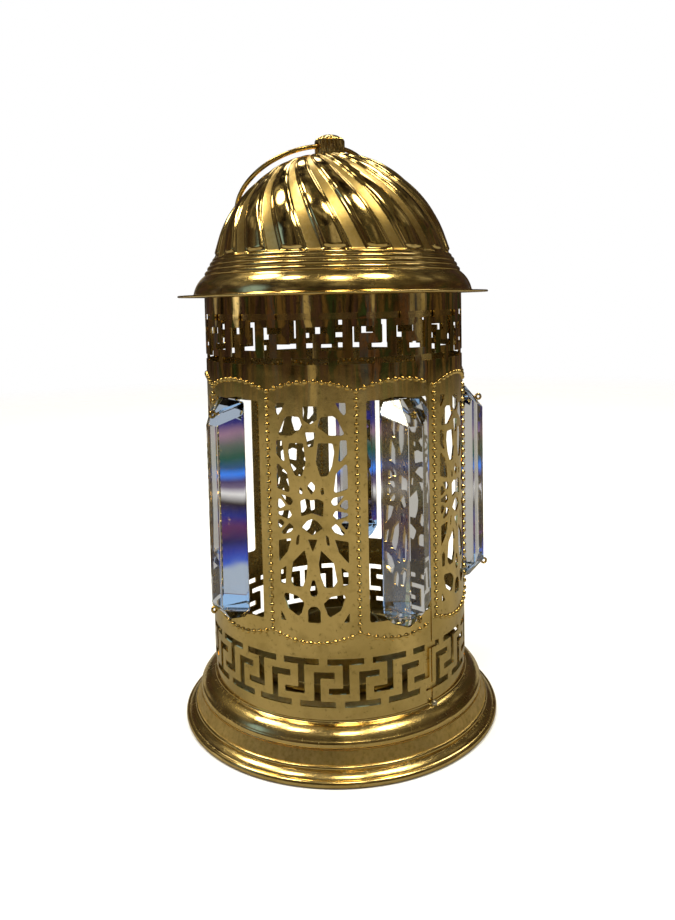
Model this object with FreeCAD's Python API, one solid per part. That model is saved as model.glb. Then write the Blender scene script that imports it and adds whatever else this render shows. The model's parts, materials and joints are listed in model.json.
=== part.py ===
import FreeCAD, Part
import math
import os

# Candle lantern: a rolled and pierced brass sheet body on a spun foot, five cut crystal bars
# hung over its windows, a lift-off domed lid, and a wire carrying ring through the finial.
# Millimetres, +Z up, origin at the centre of the underside of the foot.
# Angles are degrees about Z: 0 faces the front (-Y) and they grow towards +X.

os.makedirs("parts", exist_ok=True)

# ---- body sheet
SHEET_R = 66.0
SHEET_T = 0.8
SHEET_BOTTOM = 22.8
SHEET_TOP = 215.8
SECTORS = 5
SECTOR = 360.0 / SECTORS
PANEL_AT = -10.0
WINDOW_AT = 26.0
WINDOW_BOTTOM = 67.5
WINDOW_TOP = 168.5
WINDOW_HALF = 14.0
PANEL_HALF = SECTOR / 2 - WINDOW_HALF
CUTTER_IN = 9.0
CUTTER_OUT = 3.0

# ---- Greek key bands
KEY_UNITS = 20
KEY_AT = 2.0
KEY_SHIFT = 7.5
KEY_HALF_BAR = 8.4
KEY_REACH = 8.0
KEY_HALF_STEM = 1.5
KEY_BAR_TOP = 11.4
KEY_BAR_LOW = 8.5
KEY_FOOT_TOP = -2.3
KEY_FOOT_LOW = -5.2
LOWER_KEY_Z = 40.1
UPPER_KEY_Z = 196.4

# ---- seam of the rolled sheet
SEAM_AT = 40.6
SEAM_GAP = 0.7
STRIP_T = 0.5
STRIP_HALF = 3.2
STRIP_STAND_OFF = 0.05
SOLDER_R = 1.6
SOLDER_OUT = 1.3
SOLDER_Z = 22.3

# ---- foot
FOOT_T = 1.0
LEDGE_IN = 62.5
RIM_R = 82.0
REST_IN = 79.0
FLOOR_T = 1.0
FLOOR_R = SHEET_R - SHEET_T - 0.2

# ---- candle fittings
PAN_R = 46.0
PAN_T = 0.8
PAN_RIM = 5.0
CUP_BORE = 20.0
CUP_T = 1.0
CUP_DEPTH = 16.0
STUD_R = 2.0
STUD_HOLE = 2.1
NUT_FLATS = 7.0
NUT_H = 3.2
WASHER_R = 5.5
WASHER_T = 1.0

# ---- crystal bars
BAR_BACK_R = 67.4
BAR_T = 11.8
BAR_HALF_BACK = 9.8
BAR_HALF = 12.3
BAR_HALF_FACE = 3.6
BAR_SIDE_LOW = 2.2
BAR_SIDE_HIGH = 3.4
BAR_LOW = 65.0
BAR_TOP = 169.0
FACE_LOW = 74.0
FACE_TOP = 157.5
END_IN_LOW = 4.4
END_IN_TOP = 2.6
END_CLIP = 4.0
BAR_HOLE = 1.0
PIN_R = 0.6
PIN_TOP_Z = 162.5
PIN_LOW_Z = 72.0
PIN_TAIL = 11.5
PIN_BEND = 1.6
EYE_R = 1.3
EYE_GAP = 1.5
BAR_HANG = (0.0, -2.5, 0.0, 0.0, 0.0)

# ---- lid
LID_GAP = 0.3
COLLAR_R = 64.7
COLLAR_T = 1.0
COLLAR_LOW = 204.6
BRIM_Z = SHEET_TOP + LID_GAP
BRIM_R = 79.4
BRIM_T = 1.1
LID_T = 1.0
DOME_T = 0.8
DOME_LOW = 235.6
DOME_R = 60.9
DOME_TOP = 287.4
DOME_FLAT = 8.0

# ---- finial and carrying ring
KNOB_R = 7.75
KNOB_H = 10.4
KNOB_SIDE = 7.6
RING_Z = 291.9
RING_R = 38.0
WIRE_R = 1.2
RING_HOLE = 1.75
RING_SLACK = 0.4
RING_AXIS_AT = 119.0
RING_DROOP = 37.0

UP = FreeCAD.Vector(0, 0, 1)
ORIGIN = FreeCAD.Vector(0, 0, 0)


def save(name, shape):
    """Write one node, and say how many solids it has and their volume."""
    solids = shape.Solids
    whole = solids[0] if len(solids) == 1 else Part.makeCompound(solids)
    whole.exportStep("parts/" + name + ".step")
    print(name, len(solids), round(whole.Volume, 1), whole.isValid())


def facing(shape, angle):
    """Turn a shape built facing +X (tangent +Y) so that it faces the given angle."""
    turned = shape.copy()
    turned.rotate(ORIGIN, UP, angle - 90.0)
    return turned


def flat(points):
    """A planar face from its corner points."""
    return Part.Face(Part.makePolygon(points + points[:1]))


def outline(start, *moves):
    """A wire in the XZ plane: a move is (r, z), or ((r, z) on an arc, (r, z) at its end)."""
    edges = []
    here = FreeCAD.Vector(start[0], 0, start[1])
    for move in moves:
        if isinstance(move[0], tuple):
            through, end = [FreeCAD.Vector(r, 0, z) for r, z in move]
            edges.append(Part.Arc(here, through, end).toShape())
        else:
            end = FreeCAD.Vector(move[0], 0, move[1])
            edges.append(Part.LineSegment(here, end).toShape())
        here = end
    return Part.Wire(edges)


def spun(wire):
    """The solid that a closed section makes when it turns about Z."""
    return Part.Face(wire).revolve(ORIGIN, UP, 360.0)


def ring(r_in, r_out, low, high):
    return Part.makeCylinder(r_out, high - low, FreeCAD.Vector(0, 0, low)).cut(
        Part.makeCylinder(r_in, high - low, FreeCAD.Vector(0, 0, low)))


def disc(radius, low, high):
    return Part.makeCylinder(radius, high - low, FreeCAD.Vector(0, 0, low))


def sheet_arc(low, high, middle, half):
    """A stretch of the rolled sheet, from middle - half to middle + half degrees."""
    r_in = SHEET_R - SHEET_T
    section = flat([FreeCAD.Vector(r, 0, z)
                    for r, z in ((r_in, low), (SHEET_R, low), (SHEET_R, high), (r_in, high))])
    return facing(section.revolve(ORIGIN, UP, 2 * half), middle - half)


def cutter(points, angle):
    """A prism through the sheet: its outline is given as (arc length, height) on the sheet."""
    corners = [FreeCAD.Vector(SHEET_R - CUTTER_IN, SHEET_R * math.sin(u / SHEET_R), z)
               for u, z in points]
    reach = FreeCAD.Vector(CUTTER_IN + CUTTER_OUT, 0, 0)
    return facing(flat(corners).extrude(reach), angle)


def hexagon(low, high):
    """A hexagonal nut with a hole for the stud."""
    corner = NUT_FLATS / math.sqrt(3)
    corners = [FreeCAD.Vector(corner * math.cos(math.radians(60 * k)),
                              corner * math.sin(math.radians(60 * k)), low) for k in range(6)]
    block = flat(corners).extrude(FreeCAD.Vector(0, 0, high - low))
    return block.cut(disc(STUD_R, low, high))


# Openings of one pierced panel, right-hand half, as (arc length from the panel's middle, height).
SIDE_HOLES = [
    [(11.5, 168.0), (16.0, 168.0), (16.2, 163.5), (15.3, 162.2), (13.7, 164.0)],
    [(4.9, 161.8), (10.3, 162.3), (12.2, 160.6), (15.2, 154.2), (14.5, 153.4),
     (8.6, 153.4), (3.4, 157.4)],
    [(3.4, 150.2), (9.9, 150.0), (10.6, 146.0), (9.4, 139.6), (7.3, 135.4), (4.2, 135.2),
     (2.3, 141.6)],
    [(13.3, 151.3), (16.2, 151.3), (16.4, 145.0), (13.5, 141.7), (12.3, 142.0)],
    [(15.4, 140.6), (16.3, 140.0), (16.4, 129.3), (11.0, 127.7), (10.1, 128.4),
     (11.2, 136.4)],
    [(4.0, 129.6), (5.4, 130.4), (5.8, 127.2), (4.4, 126.8)],
    [(14.7, 126.5), (11.3, 122.0), (9.6, 121.9), (8.6, 123.7), (9.8, 125.5)],
    [(16.2, 124.4), (16.4, 120.6), (15.4, 119.8), (12.3, 121.6), (14.6, 124.4)],
    [(10.7, 119.7), (16.3, 118.4), (16.2, 117.0), (11.2, 115.5), (9.3, 117.4)],
    [(14.6, 115.2), (16.4, 114.6), (16.4, 112.0), (15.4, 110.7), (12.9, 113.6)],
    [(10.7, 113.8), (14.8, 109.2), (13.6, 108.2), (10.1, 109.6), (8.5, 112.0)],
    [(10.0, 106.6), (16.2, 105.4), (16.2, 95.4), (11.8, 100.6)],
    [(5.9, 108.7), (7.3, 107.9), (7.8, 103.8), (6.5, 104.0)],
    [(3.7, 101.7), (5.9, 99.5), (9.4, 95.9), (10.8, 87.0), (9.0, 84.6), (5.0, 84.6),
     (3.3, 89.2), (2.6, 95.5)],
    [(12.7, 93.8), (15.8, 91.4), (15.8, 85.6), (13.4, 85.2)],
    [(4.4, 77.2), (7.8, 80.4), (13.5, 81.3), (14.4, 80.0), (12.2, 74.0), (7.4, 70.9),
     (6.0, 72.2)],
    [(16.0, 72.8), (16.0, 68.4), (13.2, 68.4)],
]

# Right-hand halves of the openings that lie across the panel's middle line, from top to bottom.
MIDDLE_HOLES = [
    [(3.2, 166.6), (3.2, 160.6), (0.0, 158.5)],
    [(2.4, 155.0), (1.2, 148.4)],
    [(0.0, 133.0), (2.1, 130.4), (0.0, 126.8)],
    [(0.0, 124.2), (2.4, 125.2), (5.4, 123.9), (5.0, 117.0), (0.0, 118.6)],
    [(0.0, 116.0), (2.2, 115.0), (5.0, 111.8), (0.0, 108.5)],
    [(2.3, 106.6), (0.0, 100.8)],
    [(0.6, 88.0), (1.9, 82.4), (1.1, 80.4)],
    [(1.3, 75.7), (2.9, 73.8), (2.9, 68.2)],
]


def mirrored(half):
    """The whole outline of an opening that lies across the middle line."""
    return half + [(-u, z) for u, z in reversed(half) if u > 0.0]


def panel_cutters(angle):
    tools = [cutter(hole, angle) for hole in SIDE_HOLES]
    tools += [cutter([(-u, z) for u, z in hole], angle) for hole in SIDE_HOLES]
    tools += [cutter(mirrored(half), angle) for half in MIDDLE_HOLES]
    return tools


def key_cutters(middle_z):
    """Slots of one Greek key band: hooked T shapes, upright and upside down in turn."""
    hooked = [(-KEY_HALF_BAR, KEY_BAR_TOP), (KEY_HALF_BAR, KEY_BAR_TOP),
              (KEY_HALF_BAR, KEY_BAR_LOW), (KEY_HALF_STEM, KEY_BAR_LOW),
              (KEY_HALF_STEM, KEY_FOOT_LOW), (-KEY_REACH, KEY_FOOT_LOW),
              (-KEY_REACH, KEY_FOOT_TOP), (-KEY_HALF_STEM, KEY_FOOT_TOP),
              (-KEY_HALF_STEM, KEY_BAR_LOW), (-KEY_HALF_BAR, KEY_BAR_LOW)]
    upright = [(u, middle_z + z) for u, z in hooked]
    inverted = [(KEY_SHIFT - u, middle_z - z) for u, z in hooked]
    step = 360.0 / KEY_UNITS
    angles = [KEY_AT + step * k for k in range(KEY_UNITS)]
    return [cutter(slot, angle) for angle in angles for slot in (upright, inverted)]


def seam_cut(low, high):
    block = Part.makeBox(CUTTER_IN + CUTTER_OUT, SEAM_GAP, high - low,
                         FreeCAD.Vector(SHEET_R - CUTTER_IN, -SEAM_GAP / 2, low))
    return facing(block, SEAM_AT)


def frieze(low, high, key_z):
    """A full ring of the body sheet with its key band and the open butt seam."""
    band = ring(SHEET_R - SHEET_T, SHEET_R, low, high)
    return band.cut(key_cutters(key_z) + [seam_cut(low, high)])


def seam_strip(low, high):
    """The backing strip soldered behind the seam."""
    outer = SHEET_R - SHEET_T - STRIP_STAND_OFF
    inner = outer - STRIP_T
    section = flat([FreeCAD.Vector(r, 0, z)
                    for r, z in ((inner, low), (outer, low), (outer, high), (inner, high))])
    return facing(section.revolve(ORIGIN, UP, 2 * STRIP_HALF), SEAM_AT - STRIP_HALF)


def foot():
    """The spun foot: ledge, broad rounded ring, upright band, flange and rolled rim."""
    section = outline(
        (LEDGE_IN, SHEET_BOTTOM),
        (SHEET_R + 0.7, SHEET_BOTTOM),
        ((66.9, 21.9), (67.5, 21.5)),
        ((70.9, 19.6), (73.1, 16.9)),
        ((73.8, 15.9), (73.9, 14.6)),
        (73.1, 13.9),
        (74.1, 13.4),
        (76.3, 7.4),
        ((77.3, 6.6), (76.9, 5.4)),
        ((79.0, 4.6), (80.6, 3.3)),
        ((RIM_R, 1.65), (80.6, 0.0)),
        (REST_IN, 0.0),
        ((78.2, 1.1), (78.9, 2.2)),
        ((77.6, 3.8), (75.6, 4.9)),
        (75.3, 7.2),
        (73.1, 12.8),
        (72.0, 13.6),
        (72.6, 14.9),
        ((71.9, 16.6), (70.1, 18.7)),
        ((68.7, 19.9), (66.9, 20.8)),
        (65.6, SHEET_BOTTOM - FOOT_T),
        (LEDGE_IN, SHEET_BOTTOM - FOOT_T),
        (LEDGE_IN, SHEET_BOTTOM))
    return spun(section)


def solder_bead(*neighbours):
    bead = Part.makeSphere(SOLDER_R, FreeCAD.Vector(SHEET_R + SOLDER_OUT, 0, SOLDER_Z))
    return facing(bead, SEAM_AT).cut(list(neighbours))


def crystal_bar():
    """A cut bar facing +X: bevelled long edges, sloped and clipped ends, two pin holes."""
    back = BAR_BACK_R
    face = BAR_BACK_R + BAR_T
    half_plan = [(back, BAR_HALF_BACK), (back + BAR_SIDE_LOW, BAR_HALF),
                 (back + BAR_SIDE_HIGH, BAR_HALF), (face, BAR_HALF_FACE)]
    plan = half_plan + [(r, -u) for r, u in reversed(half_plan)]
    column = flat([FreeCAD.Vector(r, u, BAR_LOW) for r, u in plan])
    column = column.extrude(FreeCAD.Vector(0, 0, BAR_TOP - BAR_LOW))
    side = [(back, BAR_LOW + 1.0), (back + END_IN_LOW, BAR_LOW), (face, FACE_LOW),
            (face, FACE_TOP), (back + END_IN_TOP, BAR_TOP), (back, BAR_TOP - 1.0)]
    slab = flat([FreeCAD.Vector(r, -2 * BAR_HALF, z) for r, z in side])
    slab = slab.extrude(FreeCAD.Vector(0, 4 * BAR_HALF, 0))
    clip = END_CLIP
    front = [(-BAR_HALF, BAR_LOW + clip), (clip - BAR_HALF, BAR_LOW), (BAR_HALF - clip, BAR_LOW),
             (BAR_HALF, BAR_LOW + clip), (BAR_HALF, BAR_TOP - clip), (BAR_HALF - clip, BAR_TOP),
             (clip - BAR_HALF, BAR_TOP), (-BAR_HALF, BAR_TOP - clip)]
    shield = flat([FreeCAD.Vector(back - 1.0, u, z) for u, z in front])
    shield = shield.extrude(FreeCAD.Vector(BAR_T + 2.0, 0, 0))
    bar = column.common(slab).common(shield)
    holes = [Part.makeCylinder(BAR_HOLE, 2 * BAR_T, FreeCAD.Vector(back - 4.0, 0, z),
                               FreeCAD.Vector(1, 0, 0)) for z in (PIN_TOP_Z, PIN_LOW_Z)]
    return bar.cut(holes)


def hung(shape, angle, drop):
    """A bar or its pin at its window, hanging by its own small amount."""
    placed = facing(shape, angle)
    placed.translate(FreeCAD.Vector(0, 0, drop))
    return placed


def eye_pin(height, front_r, tail_up):
    """A wire through the bar, bent behind the sheet inside and curled to an eye outside."""
    tail_r = SHEET_R - SHEET_T - PIN_R - LID_GAP
    sign = 1.0 if tail_up else -1.0
    middle = FreeCAD.Vector(tail_r + PIN_BEND, 0, height + sign * PIN_BEND)
    diagonal = PIN_BEND / math.sqrt(2)
    bend = Part.Arc(FreeCAD.Vector(tail_r + PIN_BEND, 0, height),
                    FreeCAD.Vector(middle.x - diagonal, 0, middle.z - sign * diagonal),
                    FreeCAD.Vector(tail_r, 0, middle.z)).toShape()
    run = Part.LineSegment(FreeCAD.Vector(front_r, 0, height),
                           FreeCAD.Vector(tail_r + PIN_BEND, 0, height)).toShape()
    tail = Part.LineSegment(FreeCAD.Vector(tail_r, 0, middle.z),
                            FreeCAD.Vector(tail_r, 0, height + sign * PIN_TAIL)).toShape()
    path = Part.Wire([run, bend, tail])
    end = Part.Wire([Part.makeCircle(PIN_R, FreeCAD.Vector(front_r, 0, height),
                                     FreeCAD.Vector(1, 0, 0))])
    wire = path.makePipeShell([end], True, False)
    eye = Part.makeTorus(EYE_R, PIN_R, FreeCAD.Vector(front_r + EYE_R, 0, height),
                         FreeCAD.Vector(0, 1, 0))
    return wire.fuse(eye)


def lid_rim():
    """Flat brim, bold convex moulding and three small steps up to the dome's seat."""
    section = outline(
        (COLLAR_R - COLLAR_T, BRIM_Z),
        (BRIM_R - 0.55, BRIM_Z),
        ((BRIM_R, BRIM_Z + 0.55), (BRIM_R - 0.55, BRIM_Z + BRIM_T)),
        (71.4, BRIM_Z + BRIM_T),
        ((69.9, 221.6), (66.3, 225.8)),
        (65.4, 226.6),
        ((65.9, 228.4), (64.6, 229.4)),
        (63.4, 229.8),
        ((63.6, 231.6), (62.4, 232.6)),
        (61.2, 233.0),
        ((61.9, 234.3), (61.2, DOME_LOW)),
        (57.6, DOME_LOW),
        (57.6, DOME_LOW - LID_T),
        (60.0, DOME_LOW - LID_T),
        (60.0, 232.2),
        (62.0, 229.0),
        (64.2, 225.8),
        ((68.4, 221.4), (69.9, BRIM_Z + BRIM_T + 0.2)),
        (COLLAR_R - COLLAR_T, BRIM_Z + BRIM_T + 0.2),
        (COLLAR_R - COLLAR_T, BRIM_Z))
    return spun(section)


def lid_collar():
    """The collar soldered under the brim, which drops inside the top of the body sheet."""
    return ring(COLLAR_R - COLLAR_T, COLLAR_R, COLLAR_LOW, BRIM_Z)


def lid_dome():
    """The domed crown, with a hole for the finial's stud."""
    crown_r = DOME_FLAT
    under = DOME_TOP - DOME_T
    section = outline(
        (STUD_HOLE, DOME_TOP),
        (crown_r, DOME_TOP),
        ((24.8, 282.7), (38.6, 272.8)),
        ((50.4, 260.2), (57.4, 246.4)),
        (DOME_R, DOME_LOW),
        (DOME_R - DOME_T, DOME_LOW),
        (56.6, 246.1),
        ((49.7, 259.8), (38.1, 272.2)),
        ((24.5, 281.9), (crown_r, under)),
        (STUD_HOLE, under),
        (STUD_HOLE, DOME_TOP))
    return spun(section)


def knob():
    """The finial: straight sides, a domed top, a cross hole for the ring, a socket below."""
    shoulder = DOME_TOP + KNOB_SIDE
    rise = KNOB_H - KNOB_SIDE
    crown_r = (KNOB_R ** 2 + rise ** 2) / (2 * rise)
    half_r = KNOB_R / 2
    half_z = DOME_TOP + KNOB_H - crown_r + math.sqrt(crown_r ** 2 - half_r ** 2)
    section = outline(
        (0.0, DOME_TOP),
        (KNOB_R - 0.6, DOME_TOP),
        (KNOB_R, DOME_TOP + 0.6),
        (KNOB_R, shoulder),
        ((half_r, half_z), (0.0, DOME_TOP + KNOB_H)),
        (0.0, DOME_TOP))
    bore = Part.makeCylinder(RING_HOLE, 4 * KNOB_R, FreeCAD.Vector(-2 * KNOB_R, 0, RING_Z),
                             FreeCAD.Vector(1, 0, 0))
    socket = disc(STUD_R, DOME_TOP, DOME_TOP + 1.0)
    return spun(section).cut([facing(bore, RING_AXIS_AT), socket])


def carrying_ring():
    """A closed wire ring through the knob, lying back over the dome on the far left."""
    droop = math.radians(RING_DROOP)
    reach = RING_R - RING_SLACK
    centre = FreeCAD.Vector(reach * math.cos(droop), 0, RING_Z - reach * math.sin(droop))
    normal = FreeCAD.Vector(math.sin(droop), 0, math.cos(droop))
    return facing(Part.makeTorus(RING_R, WIRE_R, centre, normal), RING_AXIS_AT + 90.0)


# ---- body
base = foot()
lower = frieze(SHEET_BOTTOM, WINDOW_BOTTOM, LOWER_KEY_Z)
upper = frieze(WINDOW_TOP, SHEET_TOP, UPPER_KEY_Z)
save("foot", base)
save("lower_frieze", lower)
save("upper_frieze", upper)
save("seam_strip_lower", seam_strip(SHEET_BOTTOM + FLOOR_T + 0.4, WINDOW_BOTTOM - 1.5))
save("seam_strip_upper", seam_strip(WINDOW_TOP + 1.5, COLLAR_LOW - 1.0))
save("solder_bead", solder_bead(base, lower))
for k in range(SECTORS):
    angle = PANEL_AT + SECTOR * k
    panel = sheet_arc(WINDOW_BOTTOM, WINDOW_TOP, angle, PANEL_HALF)
    save("pierced_panel_%d" % (k + 1), panel.cut(panel_cutters(angle)))

# ---- floor and candle fittings
floor_top = SHEET_BOTTOM + FLOOR_T
pan_top = floor_top + PAN_T
cup_floor = pan_top + CUP_T
save("floor_plate", ring(STUD_HOLE, FLOOR_R, SHEET_BOTTOM, floor_top))
pan = outline((STUD_HOLE, floor_top), (PAN_R - 2.5, floor_top),
              ((PAN_R - 0.8, floor_top + 0.8), (PAN_R, floor_top + PAN_RIM)),
              (PAN_R - PAN_T, floor_top + PAN_RIM),
              ((PAN_R - 1.6, floor_top + 1.5), (PAN_R - 2.7, pan_top)),
              (STUD_HOLE, pan_top), (STUD_HOLE, floor_top))
save("drip_pan", spun(pan))
stud_low = SHEET_BOTTOM - WASHER_T - NUT_H - 1.2
cup = disc(CUP_BORE + CUP_T, pan_top, cup_floor + CUP_DEPTH)
cup = cup.cut(disc(CUP_BORE, cup_floor, cup_floor + CUP_DEPTH))
save("candle_cup", cup.fuse(disc(STUD_R, stud_low, pan_top)))
washer_low = SHEET_BOTTOM - WASHER_T
save("cup_washer", ring(STUD_HOLE, WASHER_R, washer_low, SHEET_BOTTOM))
save("cup_nut", hexagon(washer_low - NUT_H, washer_low))

# ---- crystals and their eye pins
windows = [WINDOW_AT + SECTOR * k for k in range(SECTORS)]
bar = crystal_bar()
for k, angle in enumerate(windows):
    save("crystal_%d" % (k + 1), hung(bar, angle, BAR_HANG[k]))
face_r = BAR_BACK_R + BAR_T
top_slope = (BAR_T - END_IN_TOP) / (BAR_TOP - FACE_TOP)
low_slope = (BAR_T - END_IN_LOW) / (FACE_LOW - BAR_LOW)
top_front = face_r - top_slope * (PIN_TOP_Z - FACE_TOP) + EYE_GAP
low_front = face_r - low_slope * (FACE_LOW - PIN_LOW_Z) + EYE_GAP
for name, pin in (("top_eye_pins", eye_pin(PIN_TOP_Z, top_front, True)),
                  ("bottom_eye_pins", eye_pin(PIN_LOW_Z, low_front, False))):
    save(name, Part.makeCompound([hung(pin, a, h) for a, h in zip(windows, BAR_HANG)]))

# ---- lid
save("lid_rim", lid_rim())
save("lid_collar", lid_collar())
save("lid_dome", lid_dome())
under_dome = DOME_TOP - DOME_T
save("finial_knob", knob())
save("finial_stud", disc(STUD_R, under_dome - WASHER_T - NUT_H - 1.0, DOME_TOP + 1.0))
save("finial_washer", ring(STUD_HOLE, WASHER_R, under_dome - WASHER_T, under_dome))
save("finial_nut", hexagon(under_dome - WASHER_T - NUT_H, under_dome - WASHER_T))
save("ring_handle", carrying_ring())
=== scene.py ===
import json
import math
import random

import bmesh
import bpy
import numpy as np
from mathutils import Matrix, Vector
from mathutils.geometry import delaunay_2d_cdt


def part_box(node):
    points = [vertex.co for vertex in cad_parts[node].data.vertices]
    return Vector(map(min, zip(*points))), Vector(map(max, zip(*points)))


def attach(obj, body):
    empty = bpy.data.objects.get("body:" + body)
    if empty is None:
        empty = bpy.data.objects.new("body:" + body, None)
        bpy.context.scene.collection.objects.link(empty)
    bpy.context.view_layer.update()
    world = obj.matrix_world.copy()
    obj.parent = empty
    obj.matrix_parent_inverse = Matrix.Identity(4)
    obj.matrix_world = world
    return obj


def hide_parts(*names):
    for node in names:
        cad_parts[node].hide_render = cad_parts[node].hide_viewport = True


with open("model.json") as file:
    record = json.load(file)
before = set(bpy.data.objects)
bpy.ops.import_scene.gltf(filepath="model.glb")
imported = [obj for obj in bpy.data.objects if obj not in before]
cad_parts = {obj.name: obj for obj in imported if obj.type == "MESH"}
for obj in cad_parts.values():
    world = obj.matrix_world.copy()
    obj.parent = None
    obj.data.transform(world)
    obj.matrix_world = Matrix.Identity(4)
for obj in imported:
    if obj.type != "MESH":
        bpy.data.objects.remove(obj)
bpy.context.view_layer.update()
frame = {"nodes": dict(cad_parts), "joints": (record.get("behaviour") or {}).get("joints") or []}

# Shapes are worked out in millimetres and degrees, then written in metres.
# Angles are about Z: 0 faces the front (-Y) and they grow towards +X.
MM = 0.001


# ---------------- driving sizes
def cad_radius(node):
    """Outer radius of a round CAD node, in millimetres."""
    low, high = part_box(node)
    return max(high.x, -low.x) / MM


def cad_low(node):
    """Height of a CAD node's lowest point, in millimetres."""
    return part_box(node)[0].z / MM


def cad_top(node):
    """Height of a CAD node's highest point, in millimetres."""
    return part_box(node)[1].z / MM


# The rolled sheet, its windows, panels and seam.
SHEET_R = cad_radius("lower_frieze")
SHEET_T = 0.8
SHEET_LOW = cad_low("lower_frieze")
SHEET_TOP = cad_top("upper_frieze")
WINDOW_LOW = cad_top("lower_frieze")
WINDOW_TOP = cad_low("upper_frieze")
WINDOW_HALF = 14.0
PANEL_AT = -10.0
WINDOW_AT = 26.0
SECTORS = 5
SECTOR = 360.0 / SECTORS
SEAM_AT = 40.6
SEAM_GAP = 0.8
SEAM_CLOSE = 0.35
WINDOW_ROUND = 1.2
PANEL_ROUND = 0.7
KEY_ROUND = 0.3

# The two Greek key bands.
KEY_UNITS = 20
KEY_AT = 2.0
KEY_REACH = 14.0
KEY_SHIFT = 7.5
LOWER_KEY_Z = 40.1
UPPER_KEY_Z = 196.4

# The embossed beads. A bead's own shape is (radius, rise) rings from its edge to its top.
# The humps' beads stay SEAM_CLEARANCE degrees away from the seam.
BEAD_COLUMNS = 2 * SECTORS
BEAD_COLUMNS_AT = 8.0
BEAD_COLUMN_STEP = 360.0 / BEAD_COLUMNS
BEAD_LINE_LOW = 63.2
BEAD_LINE_TOP = 173.0
BEAD_RISE = 4.6
BEADS_UP = 30
BEADS_ACROSS = 11
SEAM_CLEARANCE = 0.8
LARGE_BEAD = [(1.20, 0.0), (1.12, 0.42), (0.90, 0.80), (0.60, 1.04), (0.28, 1.16), (0.0, 1.20)]
SMALL_BEAD = [(0.48, 0.0), (0.36, 0.26), (0.0, 0.40)]

# How finely the sheet is meshed: its level edges, its free ground in degrees and millimetres,
# and the room kept around every outline.
BEND_STEP = 1.6
GRID_TURN = 3.0
GRID_RISE = 5.0
GRID_CLEAR = 1.0


# ---------------- mesh helpers
def at(radius, angle, z):
    """A point from its radius, its angle from the front, and its height."""
    a = math.radians(angle)
    return (radius * math.sin(a), -radius * math.cos(a), z)


def make_object(name, verts, faces, material, sharp=40.0):
    """A smooth-shaded mesh object from millimetre points, with edges over sharp degrees crisp."""
    mesh = bpy.data.meshes.new(name)
    mesh.from_pydata([(x * MM, y * MM, z * MM) for x, y, z in verts], [], faces)
    mesh.validate()
    tidy_mesh(mesh, sharp)
    made = bpy.data.objects.new(name, mesh)
    bpy.context.scene.collection.objects.link(made)
    mesh.materials.append(material)
    return made


def tidy_mesh(mesh, sharp):
    """Outward normals, smooth shading, and crisp edges above an angle."""
    work = bmesh.new()
    work.from_mesh(mesh)
    bmesh.ops.remove_doubles(work, verts=work.verts, dist=1e-7)
    bmesh.ops.recalc_face_normals(work, faces=work.faces)
    work.to_mesh(mesh)
    work.free()
    mesh.polygons.foreach_set("use_smooth", [True] * len(mesh.polygons))
    mesh.set_sharp_from_angle(angle=math.radians(sharp))


def shape_of(work):
    """Vertices and faces of a bmesh, which is then freed."""
    verts = [tuple(v.co) for v in work.verts]
    faces = [tuple(v.index for v in f.verts) for f in work.faces]
    work.free()
    return verts, faces


def arc_points(start, through, end, steps):
    """Points after start on the arc through three points, up to its end."""
    (ax, ay), (bx, by), (cx, cy) = start, through, end
    d = 2 * (ax * (by - cy) + bx * (cy - ay) + cx * (ay - by))
    sa, sb, sc = ax * ax + ay * ay, bx * bx + by * by, cx * cx + cy * cy
    ux = (sa * (by - cy) + sb * (cy - ay) + sc * (ay - by)) / d
    uy = (sa * (cx - bx) + sb * (ax - cx) + sc * (bx - ax)) / d
    radius = math.hypot(ax - ux, ay - uy)
    first = math.atan2(ay - uy, ax - ux)
    turn = math.atan2(cy - uy, cx - ux) - first
    middle = math.atan2(by - uy, bx - ux) - first
    if d > 0:
        turn, middle = turn % math.tau, middle % math.tau
    else:
        turn, middle = -(-turn % math.tau), -(-middle % math.tau)
    return [(ux + radius * math.cos(first + turn * k / steps),
             uy + radius * math.sin(first + turn * k / steps)) for k in range(1, steps + 1)]


def outline(start, *moves, steps=10):
    """A section from (r, z) moves, or ((r, z) on an arc, (r, z) at its end)."""
    points = [start]
    for move in moves:
        if isinstance(move[0], tuple):
            points += arc_points(points[-1], move[0], move[1], steps)
        else:
            points.append(move)
    return points


def lathe(name, section, material, around=288, wobble=None, sharp=35.0):
    """Turns a closed section about Z. wobble(radius, angle, z) may move each point."""
    verts, faces = [], []
    count = len(section)
    for k in range(around):
        angle = 360.0 * k / around
        for r, z in section:
            if wobble:
                r, z = wobble(r, angle, z)
            verts.append(at(r, angle, z))
    for k in range(around):
        here, there = k * count, (k + 1) % around * count
        for i in range(count):
            j = (i + 1) % count
            faces.append((here + i, here + j, there + j, there + i))
    return make_object(name, verts, faces, material, sharp)


def tube(points, radius, sides=16, closed=False):
    """Vertices and faces of a round wire along a path, in millimetres."""
    path = [Vector(p) for p in points]
    count = len(path)
    verts, faces = [], []
    normal = None
    for i, p in enumerate(path):
        before = path[(i - 1) % count] if closed or i else path[0]
        after = path[(i + 1) % count] if closed or i < count - 1 else path[-1]
        ahead = (after - before).normalized()
        if normal is None:
            normal = ahead.orthogonal().normalized()
        normal = (normal - ahead * normal.dot(ahead)).normalized()
        side = ahead.cross(normal)
        for k in range(sides):
            a = math.tau * k / sides
            verts.append(tuple(p + (normal * math.cos(a) + side * math.sin(a)) * radius))
    for i in range(count if closed else count - 1):
        a, b = i * sides, (i + 1) % count * sides
        for k in range(sides):
            m = (k + 1) % sides
            faces.append((a + k, a + m, b + m, b + k))
    if not closed:
        faces.append(tuple(range(sides)))
        faces.append(tuple(reversed(range((count - 1) * sides, count * sides))))
    return verts, faces


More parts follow.
